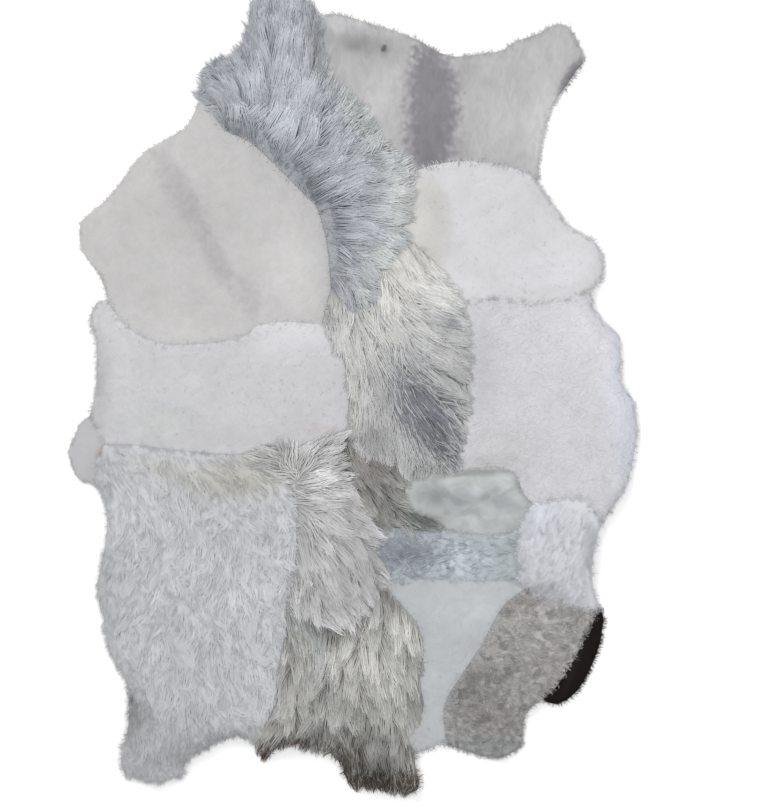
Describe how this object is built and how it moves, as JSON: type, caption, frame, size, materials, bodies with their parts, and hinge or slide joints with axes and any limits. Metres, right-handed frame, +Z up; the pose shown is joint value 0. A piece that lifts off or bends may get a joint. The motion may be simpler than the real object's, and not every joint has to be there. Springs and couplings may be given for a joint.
{
  "type": "patchwork hide rug",
  "caption": "Patchwork sheepskin rug: panels of long, curly, plush and shorn fleece sewn edge to edge into a whole-hide outline, laid flat.",
  "frame": {"origin": "under the middle of the rug's box, on the floor", "axes": "+Z up out of the pile, +Y towards the neck end, +X to the right of the neck seen from above"},
  "size_m": [1.2046, 1.7174, 0.0531],
  "materials": {
    "mane_fleece": "matte",
    "top_yoke_fleece": "matte",
    "left_shorn_fleece": "matte",
    "right_plush_fleece": "matte",
    "cream_strip_fleece": "matte",
    "right_curly_fleece": "matte",
    "right_longwool_fleece": "matte",
    "mottled_arch_fleece": "matte",
    "speckled_saddle_fleece": "matte",
    "white_wedge_fleece": "matte",
    "taupe_curl_fleece": "matte",
    "black_crescent_fleece": "matte",
    "dark_tongue_fleece": "matte",
    "starburst_fleece": "matte",
    "lower_left_leg_fleece": "matte",
    "lower_centre_leg_fleece": "matte",
    "left_plush_fleece": "matte",
    "left_tab_fleece": "matte"
  },
  "bodies": {
    "root": {"mane": "mane_fleece", "top_yoke": "top_yoke_fleece", "left_shorn": "left_shorn_fleece", "right_plush": "right_plush_fleece", "cream_strip": "cream_strip_fleece", "right_curly": "right_curly_fleece", "right_longwool": "right_longwool_fleece", "mottled_arch": "mottled_arch_fleece", "speckled_saddle": "speckled_saddle_fleece", "white_wedge": "white_wedge_fleece", "taupe_curl": "taupe_curl_fleece", "black_crescent": "black_crescent_fleece", "dark_tongue": "dark_tongue_fleece", "starburst": "starburst_fleece", "lower_left_leg": "lower_left_leg_fleece", "lower_centre_leg": "lower_centre_leg_fleece", "left_plush": "left_plush_fleece", "left_tab": "left_tab_fleece"}
  },
  "joints": []
}
